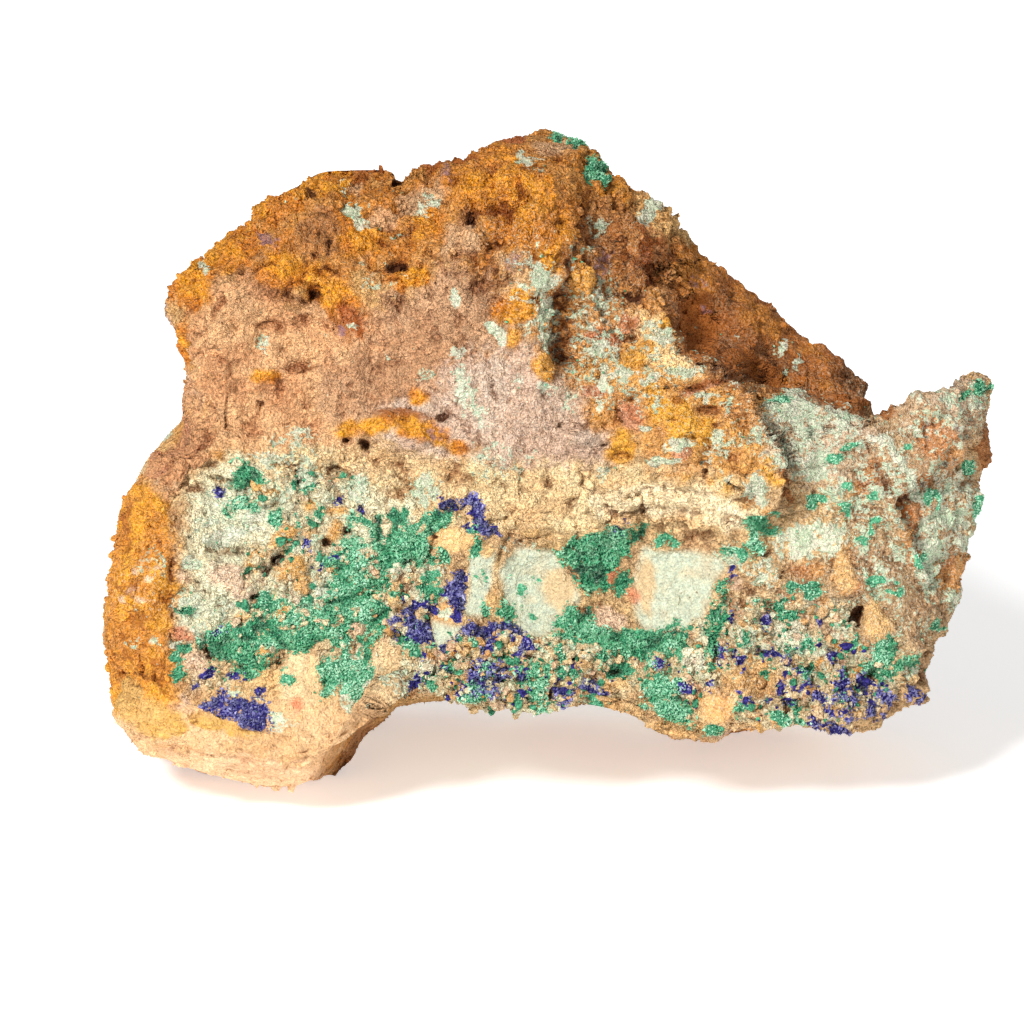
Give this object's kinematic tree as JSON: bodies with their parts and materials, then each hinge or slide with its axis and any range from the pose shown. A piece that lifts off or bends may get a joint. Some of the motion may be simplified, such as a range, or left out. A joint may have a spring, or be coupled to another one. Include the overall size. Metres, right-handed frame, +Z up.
{
  "type": "malachite and azurite mineral specimen",
  "caption": "Hand-sized ochre-brown gossan stone that rests on worn pads, with drusy green malachite and dark blue azurite crusts across its leaning display face.",
  "frame": {"origin": "on the ground, under the middle of the stone's box", "axes": "+X to the viewer's right along the display face, +Y into the stone, +Z up; the display face looks along -Y and leans back 18 degrees"},
  "size_m": [0.1114, 0.0582, 0.0787],
  "materials": {
    "gossan": "rough, matt, ochre to tan and rust, sandy grain",
    "malachite": "drusy, silky to vitreous, bright to blackish green",
    "azurite": "drusy, vitreous, dark violet-blue"
  },
  "bodies": {
    "root": {"matrix": "gossan", "malachite_druse_left": "malachite", "malachite_druse_lower_left": "malachite", "malachite_druse_upper_left": "malachite", "malachite_druse_west": "malachite", "malachite_druse_pocket_wall": "malachite", "malachite_druse_middle": "malachite", "malachite_druse_centre": "malachite", "malachite_ridge": "malachite", "malachite_druse_lower_middle": "malachite", "malachite_druse_lower_right": "malachite", "malachite_druse_under_knob": "malachite", "malachite_druse_right_corner": "malachite", "azurite_crust_lower_left": "azurite", "azurite_nodule_cluster": "azurite", "azurite_arm": "azurite", "azurite_arc_middle": "azurite", "azurite_bar_upper": "azurite", "azurite_cluster_lower_middle": "azurite", "azurite_cluster_lower_right": "azurite", "azurite_cluster_lower_east": "azurite", "azurite_field_right": "azurite", "azurite_corner": "azurite"}
  },
  "joints": []
}
